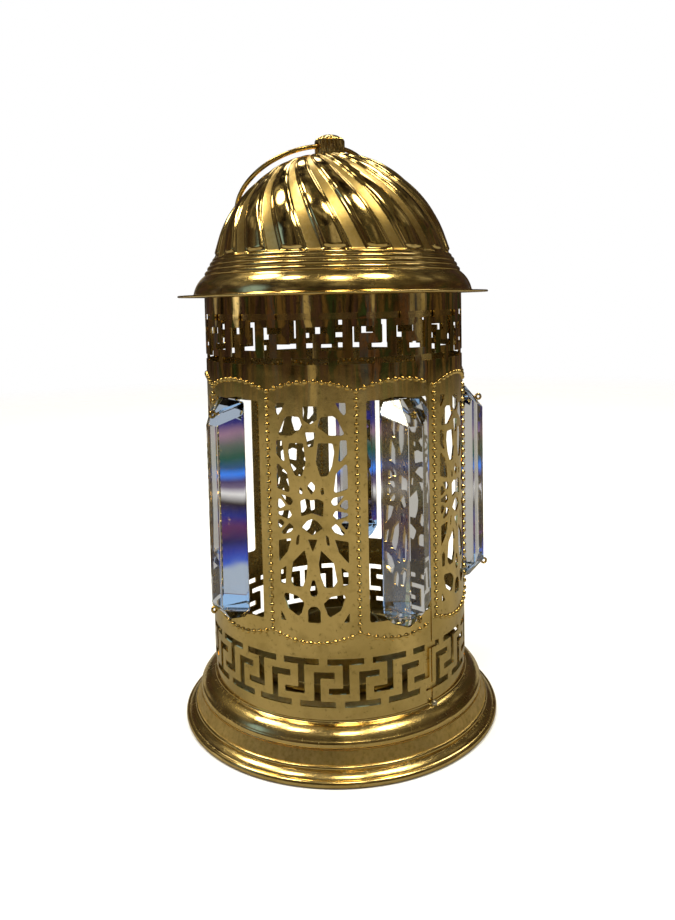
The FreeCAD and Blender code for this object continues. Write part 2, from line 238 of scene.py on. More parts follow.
def apply_modifiers(made):
    """Replaces an object's mesh by its evaluated mesh."""
    bpy.context.view_layer.update()
    graph = bpy.context.evaluated_depsgraph_get()
    mesh = bpy.data.meshes.new_from_object(made.evaluated_get(graph))
    made.modifiers.clear()
    made.data = mesh


def carve(made, tool):
    """Cuts a tool's shape out of an object and removes the tool."""
    cut = made.modifiers.new("cut", "BOOLEAN")
    cut.operation = "DIFFERENCE"
    cut.object = tool
    cut.solver = "EXACT"
    apply_modifiers(made)
    bpy.data.objects.remove(tool)


def mark_satin_and_highlight(made, values):
    """Stores a mark for each vertex that the brass materials read: the foot's satin band, the
    dome's satin channels, and the sheet's beads, which take a painted highlight.
    """
    layer = made.data.attributes.new("satin_and_highlight", "FLOAT", "POINT")
    layer.data.foreach_set("value", np.array(values, np.float32))


def place(made, body, slot, *nodes):
    """Rides a piece on its body and hides the CAD nodes it stands for. Its slot, a finish's name,
    is not used.
    """
    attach(made, body)
    if nodes:
        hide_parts(*nodes)


# ---------------- materials
# How far a turn about the axis moves the lathe marks' pattern, in metres per radian.
LATHE_TURN = 0.0025


class Tree:
    """Short names for building a node tree."""

    def __init__(self, tree):
        self.tree = tree

    def add(self, kind, **values):
        """A new node with its settings."""
        node = self.tree.nodes.new(kind)
        for key, value in values.items():
            setattr(node, key, value)
        return node

    def link(self, source, target):
        self.tree.links.new(source, target)

    def math(self, operation, a, b=None):
        """A sum on one or two sockets or numbers."""
        node = self.add("ShaderNodeMath", operation=operation)
        for socket, value in zip(node.inputs, (a, b)):
            if isinstance(value, (int, float)):
                socket.default_value = value
            elif value is not None:
                self.link(value, socket)
        return node.outputs[0]

    def scaled(self, vector, scale):
        """Coordinates stretched by a factor along each axis."""
        node = self.add("ShaderNodeMapping")
        node.inputs["Scale"].default_value = scale
        self.link(vector, node.inputs["Vector"])
        return node.outputs["Vector"]

    def noise(self, vector, scale, detail, rough, distortion=0.0):
        """A cloudy noise from 0 to 1."""
        node = self.add("ShaderNodeTexNoise")
        node.inputs["Scale"].default_value = scale
        node.inputs["Detail"].default_value = detail
        node.inputs["Roughness"].default_value = rough
        node.inputs["Distortion"].default_value = distortion
        self.link(vector, node.inputs["Vector"])
        return node.outputs["Fac"]

    def ramp(self, value, low, high, start, end, kind="LINEAR"):
        """Maps value from low..high to start..end, clamped."""
        node = self.add("ShaderNodeMapRange", clamp=True, interpolation_type=kind)
        for name, number in (("From Min", low), ("From Max", high), ("To Min", start),
                             ("To Max", end)):
            node.inputs[name].default_value = number
        self.link(value, node.inputs["Value"])
        return node.outputs["Result"]

    def mix(self, factor, first, second):
        """A blend of two colours, each a socket or a tuple."""
        node = self.add("ShaderNodeMix", data_type="RGBA")
        for socket, value in ((node.inputs[0], factor), (node.inputs[6], first),
                              (node.inputs[7], second)):
            if isinstance(value, (int, float)):
                socket.default_value = value
            elif isinstance(value, tuple):
                socket.default_value = (*value, 1.0)
            else:
                self.link(value, socket)
        return node.outputs[2]

    def palette(self, factor, stops):
        """A colour ramp through (position, colour) stops."""
        node = self.add("ShaderNodeValToRGB")
        ends = node.color_ramp.elements
        ends[0].position, ends[0].color = stops[0][0], (*stops[0][1], 1.0)
        ends[1].position, ends[1].color = stops[-1][0], (*stops[-1][1], 1.0)
        for position, colour in stops[1:-1]:
            ends.new(position).color = (*colour, 1.0)
        self.link(factor, node.inputs["Fac"])
        return node.outputs["Color"]

    def bump(self, height, strength, distance, below=None):
        """A normal that follows a height, on top of the normal below it."""
        node = self.add("ShaderNodeBump")
        node.inputs["Strength"].default_value = strength
        node.inputs["Distance"].default_value = distance
        self.link(height, node.inputs["Height"])
        if below is not None:
            self.link(below, node.inputs["Normal"])
        return node.outputs["Normal"]


class Nodes(Tree):
    """One Principled material."""

    def __init__(self, name):
        self.material = bpy.data.materials.new(name)
        self.material.use_nodes = True
        super().__init__(self.material.node_tree)
        self.shader = self.tree.nodes["Principled BSDF"]
        self.place = self.add("ShaderNodeTexCoord").outputs["Object"]

    def set(self, **values):
        """Fixed values of the shader, named with _ for a space."""
        for name, value in values.items():
            self.shader.inputs[name.replace("_", " ")].default_value = value

    def around(self):
        """Coordinates for lathe marks: radius, a slow angle, height."""
        split = self.add("ShaderNodeSeparateXYZ")
        self.link(self.place, split.inputs[0])
        x, y, z = split.outputs
        radius = self.math("SQRT", self.math("ADD", self.math("MULTIPLY", x, x),
                                             self.math("MULTIPLY", y, y)))
        turn = self.math("ARCTAN2", y, x)
        join = self.add("ShaderNodeCombineXYZ")
        self.link(radius, join.inputs[0])
        self.link(self.math("MULTIPLY", turn, LATHE_TURN), join.inputs[1])
        self.link(z, join.inputs[2])
        return join.outputs[0]


def brass(name, tone, stain, shine, spun=0.0, dents=0.25, scratches=0.3, mask=0.0, satin_and_highlight_tone=0.45,
          haze=1.0, dull=0.30):
    """Brass: tarnish clouds, specks, fine scratches, a hand-worked waviness, and lathe marks.

    mask is how strongly the mesh's own satin marks dull the metal, satin_and_highlight_tone is how
    bright the stain's colour is there (above 1 it is a painted highlight), dull is how rough they
    are, and haze is how much the roughness varies.
    """
    n = Nodes(name)
    n.set(Metallic=1.0)
    clouds = n.noise(n.place, 30.0, 6.0, 0.62, 0.7)
    blotches = n.noise(n.place, 130.0, 5.0, 0.65, 0.4)
    specks = n.noise(n.place, 520.0, 3.0, 0.6)
    colour = n.mix(n.ramp(clouds, 0.40, 0.70, 0.0, 0.8), tone, stain)
    colour = n.mix(n.ramp(blotches, 0.52, 0.72, 0.0, 0.45), colour,
                   tuple(0.72 * c for c in stain))
    colour = n.mix(n.ramp(specks, 0.60, 0.72, 0.0, 0.6), colour,
                   tuple(0.40 * c for c in stain))
    wear = n.noise(n.place, 75.0, 5.0, 0.6)
    rough = n.math("ADD", n.ramp(clouds, 0.35, 0.75, shine, shine + 0.10 * haze),
                   n.ramp(wear, 0.35, 0.8, 0.0, 0.10 * haze))
    rough = n.math("ADD", rough, n.ramp(specks, 0.55, 0.8, 0.0, 0.15 * haze))
    if mask:
        satin_and_highlight_mark = n.add("ShaderNodeAttribute", attribute_name="satin_and_highlight").outputs["Fac"]
        grain = n.ramp(specks, 0.40, 0.62, 0.35, 1.0)
        amount = n.math("MULTIPLY", n.math("MULTIPLY", satin_and_highlight_mark, grain), mask)
        # Marked places take the scaled stain colour: a satin tone on the foot and dome, a painted
        # highlight on the sheet's beads.
        colour = n.mix(amount, colour, tuple(satin_and_highlight_tone * c for c in stain))
        rough = n.math("ADD", rough, n.math("MULTIPLY", satin_and_highlight_mark, dull * mask))
    n.link(colour, n.shader.inputs["Base Color"])
    n.link(rough, n.shader.inputs["Roughness"])
    soft = n.noise(n.place, 24.0, 2.0, 0.4)
    normal = n.bump(soft, dents, 0.004)
    dimples = n.noise(n.place, 210.0, 3.0, 0.55)
    normal = n.bump(dimples, dents * 0.22, 0.0006, normal)
    fine = n.noise(n.scaled(n.place, (1.0, 1.0, 0.06)), 1500.0, 2.0, 0.5)
    normal = n.bump(fine, scratches * 0.12, 0.0002, normal)
    if spun:
        marks = n.noise(n.around(), 1900.0, 3.0, 0.65)
        normal = n.bump(marks, spun, 0.00012, normal)
    n.link(normal, n.shader.inputs["Normal"])
    return n.material


def crystal_glass(name):
    """Clear cut crystal with faint smears on its faces."""
    n = Nodes(name)
    n.set(Metallic=0.0, IOR=1.56, Transmission_Weight=1.0)
    smears = n.noise(n.scaled(n.place, (1.0, 1.0, 0.35)), 65.0, 5.0, 0.6, 0.8)
    n.link(n.ramp(smears, 0.45, 0.8, 0.0, 0.07), n.shader.inputs["Roughness"])
    tint = n.mix(n.ramp(smears, 0.3, 0.8, 0.0, 1.0), (0.985, 0.992, 1.0), (0.95, 0.97, 0.975))
    n.link(tint, n.shader.inputs["Base Color"])
    waves = n.noise(n.place, 30.0, 1.0, 0.4)
    n.link(n.bump(waves, 0.05, 0.002), n.shader.inputs["Normal"])
    return n.material


def solder_metal(name):
    """Dull grey-gold solder with a grainy skin."""
    n = Nodes(name)
    n.set(Metallic=1.0)
    grain = n.noise(n.place, 900.0, 4.0, 0.6)
    n.link(n.mix(grain, (0.62, 0.60, 0.52), (0.82, 0.78, 0.64)), n.shader.inputs["Base Color"])
    n.link(n.ramp(grain, 0.3, 0.7, 0.18, 0.4), n.shader.inputs["Roughness"])
    n.link(n.bump(grain, 0.3, 0.0003), n.shader.inputs["Normal"])
    return n.material


def floor_paint(name, dark, light, clear_from):
    """Matt floor with a faint mottle, which fades out far from the middle."""
    n = Nodes(name)
    mottle = n.noise(n.place, 9.0, 3.0, 0.5)
    n.link(n.mix(mottle, dark, light), n.shader.inputs["Base Color"])
    n.set(Roughness=0.9)
    reach = n.add("ShaderNodeVectorMath", operation="LENGTH")
    n.link(n.place, reach.inputs[0])
    fade = n.ramp(reach.outputs["Value"], clear_from, 4.0 * clear_from, 1.0, 0.0)
    n.link(fade, n.shader.inputs["Alpha"])
    return n.material


GOLD = (0.90, 0.68, 0.28)
DEEP_GOLD = (0.72, 0.50, 0.15)
PALE_GOLD = (0.86, 0.64, 0.25)
OLIVE = (0.55, 0.40, 0.13)

POLISHED = brass("polished_brass", GOLD, DEEP_GOLD, 0.07, spun=0.16, dents=0.16)
FOOT_BRASS = brass("foot_brass", GOLD, DEEP_GOLD, 0.12, spun=0.20, dents=0.20, mask=0.7, satin_and_highlight_tone=0.8)
DOME_BRASS = brass("pressed_brass", GOLD, DEEP_GOLD, 0.05, dents=0.24, scratches=0.4, mask=0.9,
                   satin_and_highlight_tone=1.0, haze=0.6)
# The sheet's beads take a bright gold painted highlight, and more roughness.
SHEET_BRASS = brass("sheet_brass", PALE_GOLD, OLIVE, 0.03, dents=0.12, mask=1.0, satin_and_highlight_tone=1.8,
                    haze=0.5, dull=0.15)
# The sheet's inner face in a darker olive: painted shade for the lantern's inside.
SHADED_SHEET_INSIDE = brass("sheet_inside_painted_shade", OLIVE, (0.28, 0.20, 0.07), 0.20, dents=0.2)
SHEET_PLAIN = brass("strip_brass", PALE_GOLD, OLIVE, 0.2, dents=0.2)
# Satin brass: its roughness is the finish; its dark olive tone is painted shade for the floor
# plate, drip pan and candle cup inside the lantern.
SHADED_SATIN = brass("satin_brass", (0.60, 0.47, 0.20), (0.36, 0.27, 0.10), 0.30, spun=0.25, dents=0.1)
WIRE = brass("wire_brass", DEEP_GOLD, (0.30, 0.17, 0.06), 0.14, dents=0.2, scratches=0.6)
HARDWARE = brass("hardware_brass", PALE_GOLD, OLIVE, 0.24, dents=0.15)
CRYSTAL = crystal_glass("crystal")
SOLDER = solder_metal("solder")
FLOOR = floor_paint("studio_floor", (0.85, 0.848, 0.842), (0.88, 0.879, 0.875), 0.45)
TABLE = floor_paint("table_reflection", (0.20, 0.19, 0.16), (0.25, 0.24, 0.205), 0.56)


# ---------------- the pierced body sheet
# Openings of one panel, right-hand half: arc length from the panel's middle, and height.
SIDE_HOLES = [
    [(11.5, 168.0), (16.0, 168.0), (16.2, 163.5), (15.3, 162.2), (13.7, 164.0)],
    [(4.9, 161.8), (10.3, 162.3), (12.2, 160.6), (15.2, 154.2), (14.5, 153.4),
     (8.6, 153.4), (3.4, 157.4)],
    [(3.4, 150.2), (9.9, 150.0), (10.6, 146.0), (9.4, 139.6), (7.3, 135.4), (4.2, 135.2),
     (2.3, 141.6)],
    [(13.3, 151.3), (16.2, 151.3), (16.4, 145.0), (13.5, 141.7), (12.3, 142.0)],
    [(15.4, 140.6), (16.3, 140.0), (16.4, 129.3), (11.0, 127.7), (10.1, 128.4),
     (11.2, 136.4)],
    [(4.0, 129.6), (5.4, 130.4), (5.8, 127.2), (4.4, 126.8)],
    [(14.7, 126.5), (11.3, 122.0), (9.6, 121.9), (8.6, 123.7), (9.8, 125.5)],
    [(16.2, 124.4), (16.4, 120.6), (15.4, 119.8), (12.3, 121.6), (14.6, 124.4)],
    [(10.7, 119.7), (16.3, 118.4), (16.2, 117.0), (11.2, 115.5), (9.3, 117.4)],
    [(14.6, 115.2), (16.4, 114.6), (16.4, 112.0), (15.4, 110.7), (12.9, 113.6)],
    [(10.7, 113.8), (14.8, 109.2), (13.6, 108.2), (10.1, 109.6), (8.5, 112.0)],
    [(10.0, 106.6), (16.2, 105.4), (16.2, 95.4), (11.8, 100.6)],
    [(5.9, 108.7), (7.3, 107.9), (7.8, 103.8), (6.5, 104.0)],
    [(3.7, 101.7), (5.9, 99.5), (9.4, 95.9), (10.8, 87.0), (9.0, 84.6), (5.0, 84.6),
     (3.3, 89.2), (2.6, 95.5)],
    [(12.7, 93.8), (15.8, 91.4), (15.8, 85.6), (13.4, 85.2)],
    [(4.4, 77.2), (7.8, 80.4), (13.5, 81.3), (14.4, 80.0), (12.2, 74.0), (7.4, 70.9),
     (6.0, 72.2)],
    [(16.0, 72.8), (16.0, 68.4), (13.2, 68.4)],
]

# Right-hand halves of the openings across the panel's middle line, from top to bottom.
MIDDLE_HOLES = [
    [(3.2, 166.6), (3.2, 160.6), (0.0, 158.5)],
    [(2.4, 155.0), (1.2, 148.4)],
    [(0.0, 133.0), (2.1, 130.4), (0.0, 126.8)],
    [(0.0, 124.2), (2.4, 125.2), (5.4, 123.9), (5.0, 117.0), (0.0, 118.6)],
    [(0.0, 116.0), (2.2, 115.0), (5.0, 111.8), (0.0, 108.5)],
    [(2.3, 106.6), (0.0, 100.8)],
    [(0.6, 88.0), (1.9, 82.4), (1.1, 80.4)],
    [(1.3, 75.7), (2.9, 73.8), (2.9, 68.2)],
]

# Half a unit of the key: a T with a hooked foot, by arc length and height from its middle.
HOOKED_T = [(-8.4, 11.4), (8.4, 11.4), (8.4, 8.5), (1.5, 8.5), (1.5, -5.2), (-8.0, -5.2),
            (-8.0, -2.3), (-1.5, -2.3), (-1.5, 8.5), (-8.4, 8.5)]


def along(angle):
    """Arc length on the sheet of an angle."""
    return SHEET_R * math.radians(angle)


def rounded(corners, radius, steps=3):
    """A loop with every corner eased by a short curve."""
    loop = []
    count = len(corners)
    for i, corner in enumerate(corners):
        here = Vector(corner)
        before = Vector(corners[i - 1]) - here
        after = Vector(corners[(i + 1) % count]) - here
        a = here + before * min(0.45, radius / before.length)
        b = here + after * min(0.45, radius / after.length)
        for k in range(steps + 1):
            t = k / steps
            p = a * (1 - t) ** 2 + here * 2 * t * (1 - t) + b * t ** 2
            loop.append((p.x, p.y))
    return loop


def panel_holes():
    """The openings of one panel about its middle line."""
    holes = [rounded(h, PANEL_ROUND) for h in SIDE_HOLES]
    holes += [rounded([(-u, z) for u, z in reversed(h)], PANEL_ROUND) for h in SIDE_HOLES]
    for half in MIDDLE_HOLES:
        whole = half + [(-u, z) for u, z in reversed(half) if u > 0.0]
        holes.append(rounded(whole, PANEL_ROUND))
    return holes


def divided(loop):
    """A loop with its long level edges split, so that they bend with the rolled sheet."""
    points = []
    for (ax, az), (bx, bz) in zip(loop, loop[1:] + loop[:1]):
        count = max(1, math.ceil(abs(bx - ax) / BEND_STEP))
        points += [(ax + (bx - ax) * k / count, az + (bz - az) * k / count)
                   for k in range(count)]
    return points


def sheet_span():
    """First and last angle of the rolled sheet, either side of its seam."""
    half_gap = math.degrees(SEAM_GAP / 2 / SHEET_R)
    return SEAM_AT + half_gap, SEAM_AT + 360.0 - half_gap


def turns_of(angle, reach):
    """The copies of an angle that touch the unrolled sheet, reach degrees to each side."""
    first, last = sheet_span()
    return [angle + 360.0 * k for k in (-1, 0, 1, 2)
            if first - reach < angle + 360.0 * k < last + reach]


def sheet_holes():
    """Every opening of the unrolled sheet: windows, arabesques and both key bands."""
    holes = []
    for k in range(SECTORS):
        for angle in turns_of(WINDOW_AT + SECTOR * k, WINDOW_HALF):
            left, right = along(angle - WINDOW_HALF), along(angle + WINDOW_HALF)
            window = [(left, WINDOW_LOW), (right, WINDOW_LOW), (right, WINDOW_TOP),
                      (left, WINDOW_TOP)]
            holes.append(rounded(window, WINDOW_ROUND))
        for angle in turns_of(PANEL_AT + SECTOR * k, 0.0):
            middle = along(angle)
            holes += [[(middle + u, z) for u, z in h] for h in panel_holes()]
    for k in range(KEY_UNITS):
        for angle in turns_of(KEY_AT + 360.0 / KEY_UNITS * k, KEY_REACH):
            middle = along(angle)
            for z0 in (LOWER_KEY_Z, UPPER_KEY_Z):
                upright = [(middle + u, z0 + z) for u, z in HOOKED_T]
                inverted = [(middle + KEY_SHIFT - u, z0 - z) for u, z in HOOKED_T]
                holes += [rounded(upright, KEY_ROUND, 2), rounded(inverted, KEY_ROUND, 2)]
    return holes


def bead_lines():
    """Centres of the embossed beads, large and small, on the unrolled sheet."""
    large, small = [], []
    column_pitch = (BEAD_LINE_TOP - BEAD_LINE_LOW) / (BEADS_UP - 1)
    for k in range(BEAD_COLUMNS):
        for angle in turns_of(BEAD_COLUMNS_AT + BEAD_COLUMN_STEP * k, 0.0):
            for i in range(BEADS_UP):
                large.append((along(angle), BEAD_LINE_LOW + column_pitch * i))
                if i < BEADS_UP - 1:
                    small.append((along(angle), BEAD_LINE_LOW + column_pitch * (i + 0.5)))
        for i in range(1, 2 * BEADS_ACROSS):
            share = i / (2 * BEADS_ACROSS)
            hump = BEAD_RISE * (1 - (2 * share - 1) ** 2)
            angle = BEAD_COLUMNS_AT + BEAD_COLUMN_STEP * (k + share)
            target = small if i % 2 else large
            for turned in turns_of(angle, -SEAM_CLEARANCE):
                target.append((along(turned), BEAD_LINE_TOP + hump))
                target.append((along(turned), BEAD_LINE_LOW - hump))
    return large, small


def inside(points, loop):
    """Which of the points lie inside a loop."""
    x, y = points[:, 0], points[:, 1]
    hit = np.zeros(len(points), bool)
    count = len(loop)
    for i in range(count):
        (ax, ay), (bx, by) = loop[i], loop[(i + 1) % count]
        if ay == by:
            continue
        crosses = (ay > y) != (by > y)
        hit ^= crosses & (x < (bx - ax) * (y - ay) / (by - ay) + ax)
    return hit


def free_ground(first, last, taken):
    """An even grid over the sheet, without the points that crowd the outlines and beads."""
    columns = int((last - first) / along(GRID_TURN))
    rows = int((SHEET_TOP - SHEET_LOW) / GRID_RISE)
    grid = np.array([(first + (last - first) * i / columns,
                      SHEET_LOW + (SHEET_TOP - SHEET_LOW) * j / rows)
                     for i in range(columns + 1) for j in range(rows + 1)])
    free = np.ones(len(grid), bool)
    for chunk in np.array_split(taken, max(1, len(taken) // 2000)):
        gap = np.abs(grid[:, None, :] - chunk[None]).max(axis=2).min(axis=1)
        free &= gap > GRID_CLEAR
    return grid[free]


def body_sheet():
    """The whole rolled sheet: triangulated flat with its openings and beads, then rolled."""
    first, last = (along(angle) for angle in sheet_span())
    border = [(first, SHEET_LOW), (last, SHEET_LOW), (last + SEAM_CLOSE, SHEET_TOP),
              (first - SEAM_CLOSE, SHEET_TOP)]
    holes = sheet_holes()
    points, edges = [], []
    for loop in [border] + holes:
        loop = divided(loop)
        start, count = len(points), len(loop)
        points.extend(loop)
        edges.extend((start + i, start + (i + 1) % count) for i in range(count))
    rises = [0.0] * len(points)
    large, small = bead_lines()
    for centres, shape, sides in ((large, LARGE_BEAD, 12), (small, SMALL_BEAD, 8)):
        for u, z in centres:
            for radius, rise in shape:
                for k in range(sides if radius else 1):
                    a = math.tau * (k + 0.5) / sides
                    points.append((u + radius * math.cos(a), z + radius * math.sin(a)))
                    rises.append(rise)
    ground = free_ground(first, last, np.array(points))
    points.extend(tuple(p) for p in ground)
    rises.extend([0.0] * len(ground))

    result = delaunay_2d_cdt([Vector(p) for p in points], edges, [], 0, 1e-6)
    flat_points, triangles, origin = result[0], result[2], result[3]
    flat_points = np.array([(p.x, p.y) for p in flat_points])
    triangles = np.array([t for t in triangles if len(t) == 3])
    middle = flat_points[triangles].mean(axis=1)
    keep = inside(middle, border)
    for loop in holes:
        xs, ys = [p[0] for p in loop], [p[1] for p in loop]
        near = np.nonzero(keep & (middle[:, 0] > min(xs)) & (middle[:, 0] < max(xs))
                          & (middle[:, 1] > min(ys)) & (middle[:, 1] < max(ys)))[0]
        keep[near[inside(middle[near], loop)]] = False
    rise = np.array([max((rises[i] for i in sources), default=0.0) for sources in origin])
    return roll_up(flat_points, triangles[keep], rise)


def roll_up(flat_points, triangles, rise):
    """Rolls a flat triangulation onto the cylinder, gives it thickness, roughens its beads and
    paints a highlight on them.
    """
    used = np.unique(triangles)
    renumber = np.full(len(flat_points), -1)
    renumber[used] = np.arange(len(used))
    triangles = renumber[triangles]
    flat_points, rise = flat_points[used], rise[used]
    count = len(used)
    verts = []
    for depth in (0.0, SHEET_T):
        for (u, z), h in zip(flat_points, rise):
            verts.append(at(SHEET_R - depth + h, math.degrees(u / SHEET_R), z))
    faces = [tuple(t) for t in triangles.tolist()]
    faces += [(c + count, b + count, a + count) for a, b, c in triangles.tolist()]
    seen = {}
    for a, b, c in triangles.tolist():
        for edge in ((a, b), (b, c), (c, a)):
            key = (min(edge), max(edge))
            seen[key] = None if key in seen else edge
    for edge in seen.values():
        if edge:
            a, b = edge
            faces.append((b, a, a + count, b + count))
    made = make_object("body_sheet", verts, faces, SHEET_BRASS, 62.0)
    # The inner faces take the darker olive brass, painted shade.
    made.data.materials.append(SHADED_SHEET_INSIDE)
    inner_side = (SHEET_R - 0.8 * SHEET_T) * MM
    for face in made.data.polygons:
        deep = math.hypot(face.center.x, face.center.y) < inner_side
        face.material_index = 1 if deep else 0
    # The beads are roughened and take a painted highlight, more towards their tops.
    dull = np.minimum(rise, 1.0)
    mark_satin_and_highlight(made, np.concatenate([dull, dull]))
    return made


# ---------------- spun parts
# Heights between which the foot's band is satin.
SATIN_BAND = (7.6, 13.4)


def foot():
    """The spun foot: a bold bright ring, a groove, a satin band and a rolled rim."""
    section = outline(
        (62.5, 22.8), (66.3, 22.8),
        ((66.5, 22.1), (67.2, 21.7)),
        ((70.8, 19.7), (73.1, 16.9)),
        ((73.8, 15.9), (73.9, 14.7)),
        ((73.8, 14.1), (73.2, 13.9)),
        ((73.3, 13.5), (74.1, 13.3)),
        (76.1, 7.7),
        ((77.2, 7.0), (76.9, 5.7)),
        ((78.6, 4.9), (80.2, 3.5)),
        ((82.0, 1.75), (80.6, 0.0)),
        (79.0, 0.0),
        ((78.2, 1.1), (78.9, 2.2)),
        ((77.6, 3.8), (75.6, 4.9)),
        (75.3, 7.2), (73.1, 12.8), (72.0, 13.6), (72.6, 14.9),
        ((70.2, 18.2), (66.9, 20.5)),
        (65.4, 21.8), (62.5, 21.8))
    made = lathe("foot_spun", section, FOOT_BRASS, around=360)
    low, high = SATIN_BAND
    mark_satin_and_highlight(made, [1.0 if low * MM < v.co.z < high * MM else 0.0 for v in made.data.vertices])
    return made


def lid_rim():
    """The lid's brim, its bold moulding and three fine steps under the dome."""
    section = outline(
        (63.7, 216.1), (78.9, 216.1),
        ((79.4, 216.6), (78.9, 217.1)),
        ((72.4, 217.2), (71.3, 217.7)),
        ((69.9, 221.8), (66.3, 226.3)),
        ((65.9, 226.7), (65.3, 226.9)),
        ((65.5, 228.0), (64.8, 229.0)),
        ((64.4, 229.3), (63.9, 229.4)),
        ((64.1, 230.5), (63.5, 231.4)),
        ((63.1, 231.7), (62.6, 231.8)),
        ((62.8, 232.8), (62.2, 233.7)),
        ((61.8, 234.0), (61.4, 234.1)),
        ((61.4, 234.9), (60.9, 235.6)),
        (57.6, 235.6), (57.6, 234.6), (60.0, 234.6), (60.0, 232.2), (62.0, 229.0),
        (64.2, 225.8),
        ((68.4, 221.4), (69.9, 217.4)),
        (63.7, 217.4))
    return lathe("lid_rim_spun", section, POLISHED, around=360)


def drip_pan():
    """A shallow spun pan with a rolled lip."""
    section = outline(
        (2.1, 23.8), (43.5, 23.8),
        ((45.3, 24.5), (46.0, 28.3)),
        ((46.3, 28.8), (46.0, 29.3)),
        ((45.5, 28.9), (45.2, 28.4)),
        ((44.4, 25.3), (43.2, 24.6)),
        (2.1, 24.6))
    return lathe("drip_pan_spun", section, SHADED_SATIN, around=160)


def candle_cup():
    """A spun cup for a tea light, on a stud through the floor."""
    section = outline(
        (2.0, 17.4), (2.0, 24.6), (20.4, 24.6),
        ((20.9, 24.8), (21.0, 25.3)),
        (21.0, 41.2),
        ((20.5, 41.6), (20.0, 41.2)),
        (20.0, 26.2),
        ((19.8, 25.8), (19.3, 25.6)),
        (0.05, 25.6), (0.05, 17.4))
    return lathe("candle_cup_spun", section, SHADED_SATIN, around=128)


# ---------------- the fluted dome
DOME_LOW = cad_low("lid_dome")
DOME_TOP = cad_top("lid_dome")
DOME_LINE = outline((60.9, DOME_LOW), (57.4, 246.4), ((50.4, 260.2), (38.6, 272.8)),
                    ((24.8, 282.7), (8.0, DOME_TOP)), steps=30)
DOME_T = 0.8
DOME_ROWS = 120
# Rings crowd towards the lower edge by this power of their share of the way up.
ROW_CROWDING = 1.15
# The flutes' slant: sideways over upwards at the lower edge, and its gain for each millimetre.
SLANT_LOW = 0.37
SLANT_GAIN = 0.0022
FLUTES = 19
FLUTE_AT = 8.2
# Shares of a flute's width: its narrow channel, and half of a crease's raised lip.
NARROW = 0.40
LIP = 0.028
# Depth of the channel's sides, its further sag, the lobe's height above the channel, and the
# height of the lips, all at radius FULL_R.
CHANNEL_DEPTH = 0.80
CHANNEL_SAG = 0.22
LOBE_HEIGHT = 1.20
LIP_HEIGHT = 0.34
FULL_R = 60.0
# A lobe: share of its height in its steep sides, their share of its width, and where its
# rounded lower end starts up the dome and how long it is.
SIDES_HEIGHT = 0.75
SIDES_WIDTH = 0.16
LOBE_START = 1.0
LOBE_END = 1.6
# Towards the crown the flutes fade out over FADE_LENGTH, and at radius FADE_R they are gone.
FADE_R = 9.0
FADE_LENGTH = 10.0


def dome_stations():
    """Rings up the dome, closest at the lower edge: radius, height, way up, twist in degrees."""
    line = np.array(DOME_LINE)
    way = np.concatenate([[0.0], np.cumsum(np.hypot(*np.diff(line, axis=0).T))])
    stations, twist, last = [], 0.0, 0.0
    for i in range(DOME_ROWS + 1):
        s = way[-1] * (i / DOME_ROWS) ** ROW_CROWDING
        r, z = np.interp(s, way, line[:, 0]), np.interp(s, way, line[:, 1])
        twist += math.degrees((SLANT_LOW + SLANT_GAIN * s) * (s - last) / r)
        last = s
        stations.append((r, z, s, twist))
    return stations


def flute_shares():
    """Where a flute is cut across its width: closest at the two creases."""
    channel = [LIP + (NARROW - 2 * LIP) * k / 8 for k in range(9)]
    lobe = [NARROW + LIP + (1 - NARROW - 2 * LIP) * (1 - math.cos(math.pi * k / 16)) / 2
            for k in range(17)]
    creases = [0.0, LIP / 2, NARROW - LIP / 2, NARROW, NARROW + LIP / 2, 1 - LIP / 2]
    return sorted(channel + lobe + creases)


def eased(share):
    """A share from 0 to 1, clamped, that leaves and arrives gently."""
    t = min(1.0, max(0.0, share))
    return t * t * (3 - 2 * t)


def flute(share, r, s):
    """How far a flute stands from the dome's surface, and how much it is a channel.

    share is the place across the flute, r the dome's radius there, and s the way up the dome.
    """
    size = (r / FULL_R) ** 0.5 * eased((r - FADE_R) / FADE_LENGTH)
    to_crease = min(share, 1 - share, abs(share - NARROW))
    lip = LIP_HEIGHT * max(0.0, 1 - (to_crease / LIP) ** 2)
    if share < NARROW:
        across = math.sin(math.pi * share / NARROW)
        sunk = lip - CHANNEL_DEPTH - CHANNEL_SAG * across
        return size * sunk, 1.0 if to_crease > LIP else 0.0
    t = (share - NARROW) / (1 - NARROW)
    across = 1 - (2 * t - 1) ** 2
    side = eased(min(t, 1 - t) / SIDES_WIDTH)
    round_end = LOBE_START + LOBE_END * (1 - math.sqrt(max(0.0, across)))
    full = SIDES_HEIGHT * side + (1 - SIDES_HEIGHT) * across
    rise = full * eased((s - round_end) / LOBE_END)
    return size * (lip - CHANNEL_DEPTH + LOBE_HEIGHT * rise), 0.0


